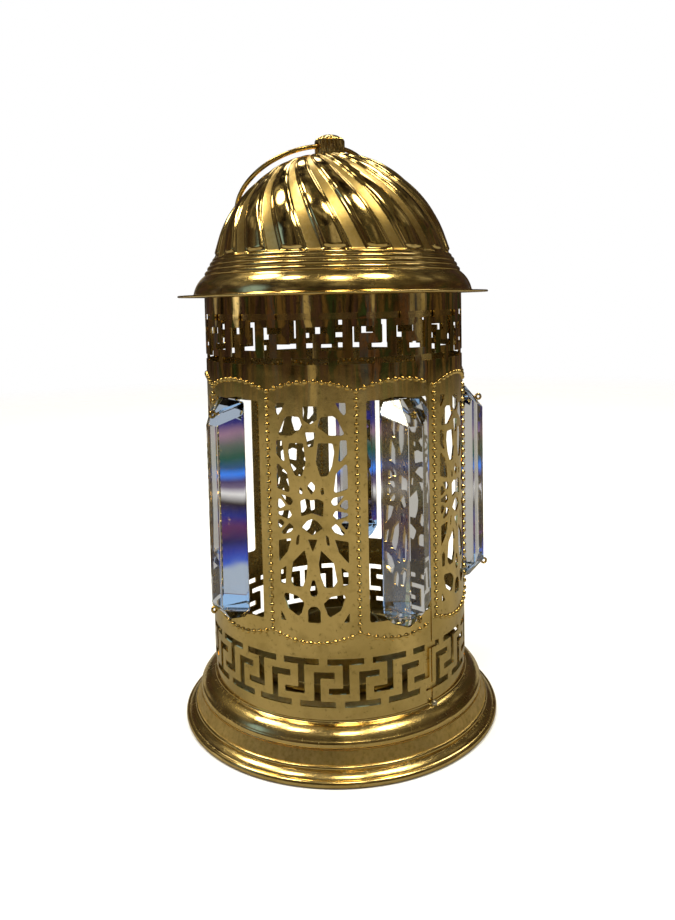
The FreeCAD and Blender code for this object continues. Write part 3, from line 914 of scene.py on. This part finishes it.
def lid_dome():
    """The pressed dome: an outer and an inner skin whose mesh lines follow the flutes."""
    shares = flute_shares()
    around = FLUTES * len(shares)
    stations = dome_stations()
    outer, inner, satin = [], [], []
    for i, (r, z, s, twist) in enumerate(stations):
        before = stations[max(0, i - 1)]
        after = stations[min(len(stations) - 1, i + 1)]
        dr, dz = after[0] - before[0], after[1] - before[1]
        size = math.hypot(dr, dz)
        nr, nz = dz / size, -dr / size
        for k in range(around):
            turn, share = k // len(shares), shares[k % len(shares)]
            angle = FLUTE_AT + (turn + share) * 360.0 / FLUTES - twist
            h, channel = flute(share, r, s)
            h *= min(1.0, s)
            satin.append(channel)
            outer.append(at(r + nr * h, angle, z + nz * h))
            inner.append(at(r + nr * (h - DOME_T), angle, z + nz * (h - DOME_T)))
    rows = len(stations)
    verts = outer + inner
    faces = []
    shift = len(outer)
    for i in range(rows - 1):
        for k in range(around):
            a, b = i * around + k, i * around + (k + 1) % around
            c, d = b + around, a + around
            faces.append((a, b, c, d))
            faces.append((d + shift, c + shift, b + shift, a + shift))
    for k in range(around):
        m = (k + 1) % around
        faces.append((m, k, k + shift, m + shift))
        top = (rows - 1) * around
        faces.append((top + k, top + m, top + m + shift, top + k + shift))
    made = make_object("lid_dome_fluted", verts, faces, DOME_BRASS, 70.0)
    mark_satin_and_highlight(made, satin + satin)
    return made


def dome_cap():
    """The flat washer-like crown under the finial, closing the dome's top."""
    under = DOME_TOP - DOME_T
    section = outline((2.1, under), (8.3, under), (8.3, DOME_TOP - 0.1),
                      ((7.9, DOME_TOP + 0.1), (7.0, DOME_TOP)), (2.1, DOME_TOP))
    return lathe("lid_dome_crown", section, DOME_BRASS, around=96)


# ---------------- finial and ring
RING_JOINT = frame["joints"][1]
HINGE = Vector(RING_JOINT["pos_m"]) / MM
HINGE_AXIS = Vector(RING_JOINT["axis"]).normalized()
KNOB_R = 7.75
KNURLS = 20
KNURL_DEPTH = 1.1
RING_HOLE_R = 1.75
RING_R = 38.0
WIRE_R = 1.2
RING_DROOP = 37.0
RING_SLACK = 0.4
RING_STEPS = 160


def finial_knob():
    """The knob: a ribbed band under a low crown, drilled across for the ring."""
    top = cad_top("finial_knob")
    low = cad_low("finial_knob")
    section = outline((2.0, low), (6.9, low), ((7.3, low + 0.2), (7.4, low + 0.7)),
                      (KNOB_R, low + 1.3), (KNOB_R, low + 6.9),
                      ((7.4, low + 7.9), (6.4, low + 8.7)),
                      ((3.6, top - 0.3), (0.05, top)), (0.05, low + 1.0), (2.0, low + 1.0))

    def knurl(r, angle, z):
        """Sinks the grooves between the ribs, up the side and over the crown."""
        ridge = 0.5 + 0.5 * math.cos(math.radians(angle * KNURLS))
        side = max(0.0, min(1.0, (z - low - 1.0) / 0.5))
        crown = max(0.0, min(1.0, (r - 3.0) / 4.0))
        return r - KNURL_DEPTH * side * crown * (1 - ridge ** 0.6), z

    sharp = 50.0
    made = lathe("finial_knob_knurled", section, POLISHED, KNURLS * 10, knurl, sharp)
    ends = [HINGE + HINGE_AXIS * t for t in (-12.0, 12.0)]
    carve(made, make_object("knob_drill", *tube(ends, RING_HOLE_R, 32), POLISHED))
    made.data.set_sharp_from_angle(angle=math.radians(sharp))
    return made


def carrying_ring():
    """A closed ring of wire through the knob's hole, leaning down onto the dome."""
    droop = math.radians(RING_DROOP)
    away = Vector((-HINGE_AXIS.y, HINGE_AXIS.x, 0.0))
    down = away * math.cos(droop) + Vector((0.0, 0.0, -math.sin(droop)))
    centre = HINGE + down * (RING_R - RING_SLACK)
    path = []
    for k in range(RING_STEPS):
        a = math.tau * k / RING_STEPS
        path.append(centre + HINGE_AXIS * (RING_R * math.cos(a)) + down * (RING_R * math.sin(a)))
    verts, faces = tube(path, WIRE_R, 20, closed=True)
    return make_object("carrying_ring_wire", verts, faces, WIRE, 60.0)


# ---------------- crystals
# A bar facing +X: radii of its back and its face, half its width, half the width of the
# face's flat, and heights above its lower end.
BAR_BACK = 67.4
BAR_FACE = 79.2
BAR_HALF = 12.3
BAR_FLAT = 3.6
BAR_LENGTH = 104.0
FLAT_LOW = 9.0
FLAT_TOP = 92.5
LOW_PIN = 7.0
TOP_PIN = 97.5
PIN_HOLE_R = 1.0
# The bevel between flat and side meets the side at this radius.
BEVEL_FOOT = 70.8
CLIPPED = 4.0
EASED_EDGE = 0.2
FACET_ANGLE = 8.0


def bar_facets(low):
    """The planes that trim a bar, each a point on it and its outward direction."""
    top, flat_low, flat_top = low + BAR_LENGTH, low + FLAT_LOW, low + FLAT_TOP
    planes = [((BAR_FACE, 0.0, flat_top), (11.5, 0.0, 9.2)),
              ((BAR_FACE, 0.0, flat_low), (9.0, 0.0, -7.4)),
              ((BAR_BACK, 0.0, top - 1.0), (-1.0, 0.0, 2.6)),
              ((BAR_BACK, 0.0, low + 1.0), (-1.0, 0.0, -4.4))]
    for side in (-1.0, 1.0):
        edge, flat = side * BAR_HALF, side * BAR_FLAT
        bevel = (BAR_HALF - BAR_FLAT, side * (BAR_FACE - BEVEL_FOOT), 0.0)
        planes += [((BAR_FACE, flat, 0.0), bevel),
                   ((BAR_BACK, side * 9.8, 0.0), (-2.5, side * 2.2, 0.0)),
                   ((BAR_FACE, edge, top - CLIPPED), (0.0, side, 1.0)),
                   ((BAR_FACE, edge, low + CLIPPED), (0.0, side, -1.0)),
                   ((BAR_FACE, flat, flat_top), (0.62, side * 0.30, 0.52)),
                   ((BAR_FACE, flat, flat_low), (0.50, side * 0.55, -0.58))]
    return planes


def crystal_bar(name, angle, low):
    """A cut crystal bar: a block trimmed by facet planes, with eased edges and two pin holes."""
    work = bmesh.new()
    bmesh.ops.create_cube(work, size=1.0)
    size = Matrix.Diagonal((BAR_FACE - BAR_BACK, 2 * BAR_HALF, BAR_LENGTH, 1.0))
    middle = ((BAR_FACE + BAR_BACK) / 2, 0.0, low + BAR_LENGTH / 2)
    bmesh.ops.transform(work, matrix=Matrix.Translation(middle) @ size, verts=work.verts)
    for point, normal in bar_facets(low):
        everything = work.verts[:] + work.edges[:] + work.faces[:]
        bmesh.ops.bisect_plane(work, geom=everything, plane_co=point, plane_no=normal,
                               clear_outer=True)
        bmesh.ops.holes_fill(work, edges=[e for e in work.edges if e.is_boundary], sides=0)
    bmesh.ops.remove_doubles(work, verts=work.verts, dist=1e-4)
    bmesh.ops.bevel(work, geom=work.edges[:], offset=EASED_EDGE, segments=1, affect="EDGES")
    made = make_object(name, *shape_of(work), CRYSTAL, FACET_ANGLE)
    for z in (low + TOP_PIN, low + LOW_PIN):
        drill = tube([(60.0, 0.0, z), (90.0, 0.0, z)], PIN_HOLE_R, 20)
        carve(made, make_object("bar_drill", *drill, CRYSTAL))
    made.data.transform(Matrix.Rotation(math.radians(angle - 90.0), 4, "Z"))
    made.data.set_sharp_from_angle(angle=math.radians(FACET_ANGLE))
    return made


# ---------------- small pieces
SOLDER_R = 1.55


def solder_bead():
    """A lumpy drop of solder at the foot of the seam."""
    random.seed(4)
    work = bmesh.new()
    bmesh.ops.create_icosphere(work, subdivisions=4, radius=SOLDER_R)
    low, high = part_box("solder_bead")
    middle = (low + high) / 2 / MM
    lumps = [Vector((random.uniform(-1, 1), random.uniform(-1, 1), random.uniform(-1, 1)))
             for _ in range(5)]
    for v in work.verts:
        push = sum(max(0.0, v.co.normalized().dot(lump.normalized())) ** 4 for lump in lumps)
        v.co = v.co * (0.92 + 0.07 * push) + middle
    return make_object("solder_drop", *shape_of(work), SOLDER, 80.0)


def dress_cad_nodes():
    """Materials for the CAD nodes that stay as they are."""
    finishes = {
        "floor_plate": SHADED_SATIN, "lid_collar": POLISHED, "seam_strip_lower": SHEET_PLAIN,
        "seam_strip_upper": SHEET_PLAIN, "top_eye_pins": WIRE, "bottom_eye_pins": WIRE,
        "cup_washer": HARDWARE, "cup_nut": HARDWARE, "finial_stud": HARDWARE,
        "finial_washer": HARDWARE, "finial_nut": HARDWARE,
    }
    for node, material in finishes.items():
        mesh = frame["nodes"][node].data
        mesh.materials.clear()
        mesh.materials.append(material)


place(foot(), "lantern", "polished_brass", "foot")
place(body_sheet(), "lantern", "sheet_brass", "lower_frieze", "upper_frieze",
      *["pierced_panel_%d" % k for k in range(1, SECTORS + 1)])
place(drip_pan(), "lantern", "satin_brass", "drip_pan")
place(candle_cup(), "lantern", "satin_brass", "candle_cup")
place(solder_bead(), "lantern", "solder", "solder_bead")
for k in range(SECTORS):
    node = "crystal_%d" % (k + 1)
    bar = crystal_bar(node + "_cut", WINDOW_AT + SECTOR * k, cad_low(node))
    place(bar, "lantern", "crystal", node)
place(lid_rim(), "lid", "polished_brass", "lid_rim")
place(lid_dome(), "lid", "polished_brass", "lid_dome")
place(dome_cap(), "lid", "polished_brass")
place(finial_knob(), "lid", "polished_brass", "finial_knob")
place(carrying_ring(), "ring_handle", "wire_brass", "ring_handle")
dress_cad_nodes()


# ---------------- stage, light and camera
def disc_floor(name, radius, height, material, seen):
    """A flat floor disc in metres, seen directly, or only mirrored in the metal."""
    sides = 128
    turns = [math.tau * k / sides for k in range(sides)]
    verts = [(radius * math.cos(a), radius * math.sin(a), height) for a in turns]
    mesh = bpy.data.meshes.new(name)
    mesh.from_pydata(verts, [], [tuple(range(sides))])
    mesh.materials.append(material)
    made = bpy.data.objects.new(name, mesh)
    bpy.context.scene.collection.objects.link(made)
    made.visible_camera = seen
    made.visible_diffuse = seen
    made.visible_transmission = False
    made.visible_glossy = not seen
    made.visible_shadow = False


def studio_floor():
    """A pale floor for the eye, and a darker table top for the reflections in the brass."""
    disc_floor("pale_floor", 2.4, 0.0, FLOOR, True)
    disc_floor("table_top", 2.2, -0.0003, TABLE, False)


def direction_to(azimuth, elevation):
    """The unit direction at an angle from the front and a height above the horizon, in degrees."""
    a, e = math.radians(azimuth), math.radians(elevation)
    return (math.sin(a) * math.cos(e), -math.cos(a) * math.cos(e), math.sin(e))


PALE = (1.0, 1.0, 1.0)
DIMMED = (0.47, 0.445, 0.395)
# The room's walls, up to about 30 degrees, and its ceiling: shares of a noise and colours.
SHELVES = [(0.36, (0.005, 0.004, 0.003)), (0.40, (0.06, 0.038, 0.018)),
           (0.43, (0.050, 0.028, 0.034)), (0.46, (0.010, 0.008, 0.006)),
           (0.485, (0.12, 0.080, 0.038)), (0.51, (0.014, 0.011, 0.007)),
           (0.53, (0.026, 0.048, 0.022)), (0.55, (0.010, 0.008, 0.007)),
           (0.58, (0.10, 0.052, 0.028)), (0.61, (0.020, 0.034, 0.075)),
           (0.66, (0.34, 0.29, 0.20))]
CEILING = [(0.38, (0.008, 0.006, 0.005)), (0.47, (0.03, 0.022, 0.014)),
           (0.51, (0.12, 0.095, 0.06)), (0.55, (0.02, 0.026, 0.018)),
           (0.60, (0.10, 0.085, 0.06)), (0.68, (0.40, 0.36, 0.28))]
# Small lamps of the room: azimuth, elevation, half-width in degrees, and glow.
LAMPS = [(-100, 58, 5.6, (24.0, 22.0, 17.0)), (-62, 64, 4.0, (20.0, 18.0, 14.0)),
         (8, 66, 4.2, (24.0, 22.0, 17.0)), (64, 64, 5.6, (24.0, 22.0, 17.0)),
         (-70, 27, 9.0, (0.30, 0.50, 0.85)), (-92, 3, 4.0, (1.2, 1.1, 1.0)),
         (84, 6, 3.0, (1.4, 1.3, 1.1)), (150, 50, 6.0, (8.0, 7.4, 6.0)),
         (-165, 48, 6.0, (8.0, 7.4, 6.0))]
# Rows of goods that the crystals catch, from low to high.
STRIPES = [(0.0, (0.36, 0.42, 0.50)), (0.26, (0.36, 0.42, 0.50)), (0.275, (0.04, 0.10, 0.50)),
           (0.30, (0.03, 0.04, 0.30)), (0.32, (0.01, 0.01, 0.08)), (0.345, (0.10, 0.02, 0.09)),
           (0.37, (0.01, 0.02, 0.20)), (0.40, (0.02, 0.01, 0.01)), (0.425, (0.75, 0.72, 0.70)),
           (0.445, (0.16, 0.12, 0.20)), (0.462, (0.06, 0.04, 0.12)), (0.48, (0.04, 0.22, 0.85)),
           (0.50, (0.02, 0.08, 0.20)), (0.525, (0.01, 0.08, 0.05)), (0.55, (0.10, 0.12, 0.10)),
           (0.575, (0.30, 0.17, 0.24)), (0.60, (0.02, 0.02, 0.16)), (0.66, (0.03, 0.02, 0.10)),
           (0.72, (0.12, 0.06, 0.04)), (0.80, (0.30, 0.50, 0.78)), (1.0, (0.30, 0.50, 0.78))]


def lamp_mask(t, direction, azimuth, elevation, width):
    """1 inside a round lamp seen at this azimuth and elevation, soft at its edge."""
    dot = t.add("ShaderNodeVectorMath", operation="DOT_PRODUCT")
    t.link(direction, dot.inputs[0])
    dot.inputs[1].default_value = direction_to(azimuth, elevation)
    edge, core = math.cos(math.radians(width * 1.4)), math.cos(math.radians(width * 0.6))
    return t.ramp(dot.outputs["Value"], edge, core, 0.0, 1.0, "SMOOTHSTEP")


def world_light():
    """Pale for the eye; for reflections a dim shop full of colours under small lamps."""
    world = bpy.data.worlds.new("studio")
    bpy.context.scene.world = world
    world.use_nodes = True
    world.node_tree.nodes.clear()
    t = Tree(world.node_tree)
    direction = t.add("ShaderNodeTexCoord").outputs["Generated"]
    split = t.add("ShaderNodeSeparateXYZ")
    t.link(direction, split.inputs[0])
    height = split.outputs["Z"]
    shelves = t.palette(t.noise(direction, 3.0, 3.0, 0.5, 0.4), SHELVES)
    ceiling = t.palette(t.noise(direction, 4.5, 3.0, 0.5, 0.4), CEILING)
    room = t.mix(t.ramp(height, 0.35, 0.60, 0.0, 1.0, "SMOOTHSTEP"), shelves, ceiling)
    for azimuth, elevation, width, glow in LAMPS:
        room = t.mix(lamp_mask(t, direction, azimuth, elevation, width), room, glow)
    stripes = t.palette(t.ramp(height, -0.45, 0.05, 0.0, 1.0), STRIPES)
    rays = t.add("ShaderNodeLightPath")
    inside_crystal = rays.outputs["Is Transmission Ray"]
    room = t.mix(inside_crystal, room, stripes)
    # Straight through a crystal the dimmed backdrop shows; after a bounce inside it, the stripes.
    straight = t.math("LESS_THAN", rays.outputs["Glossy Depth"], 0.5)
    room = t.mix(t.math("MULTIPLY", inside_crystal, straight), room, DIMMED)
    back = t.add("ShaderNodeBackground")
    t.link(t.mix(rays.outputs["Is Camera Ray"], room, PALE), back.inputs["Color"])
    out = t.add("ShaderNodeOutputWorld")
    t.link(back.outputs[0], out.inputs[0])


def soft_box(name, azimuth, elevation, distance, size, power):
    """A square area light aimed at the lantern's middle, unseen in the brass and the crystals."""
    light = bpy.data.lights.new(name, "AREA")
    light.shape = "SQUARE"
    light.size = size
    light.energy = power
    made = bpy.data.objects.new(name, light)
    bpy.context.scene.collection.objects.link(made)
    way = Vector(direction_to(azimuth, elevation))
    made.location = Vector((0.0, 0.0, MIDDLE_Z)) + way * distance
    made.rotation_mode = "QUATERNION"
    made.rotation_quaternion = way.to_track_quat("Z", "Y")
    made.visible_glossy = False
    made.visible_transmission = False


# The middle of the lantern, and the camera's place, in metres; its angles are in degrees.
MIDDLE_Z = 0.14
CAMERA_AT = (0.0, -0.4101, 0.2127)
LENS_MM = 30.73
LENS_SHIFT = -0.1114
LOOK_ASIDE = -0.24
LOOK_DOWN = 4.08
CAMERA_ROLL = -1.22


def camera():
    """A close camera a little above the body, slightly turned, with its lens shifted."""
    lens = bpy.data.cameras.new("camera")
    lens.sensor_width = 36.0
    lens.lens = LENS_MM
    lens.shift_y = LENS_SHIFT
    made = bpy.data.objects.new("camera", lens)
    bpy.context.scene.collection.objects.link(made)
    look = (Matrix.Rotation(math.radians(LOOK_ASIDE), 4, "Z")
            @ Matrix.Rotation(math.radians(90.0 - LOOK_DOWN), 4, "X")
            @ Matrix.Rotation(math.radians(CAMERA_ROLL), 4, "Z"))
    made.matrix_world = Matrix.Translation(CAMERA_AT) @ look
    bpy.context.scene.camera = made


bpy.context.scene.view_settings.view_transform = "Standard"
studio_floor()
world_light()
soft_box("key_left", -38.0, 58.0, 1.3, 0.8, 11.0)
soft_box("key_right", 44.0, 55.0, 1.4, 0.8, 9.0)
soft_box("back_fill", 180.0, 60.0, 1.5, 1.0, 12.0)
camera()
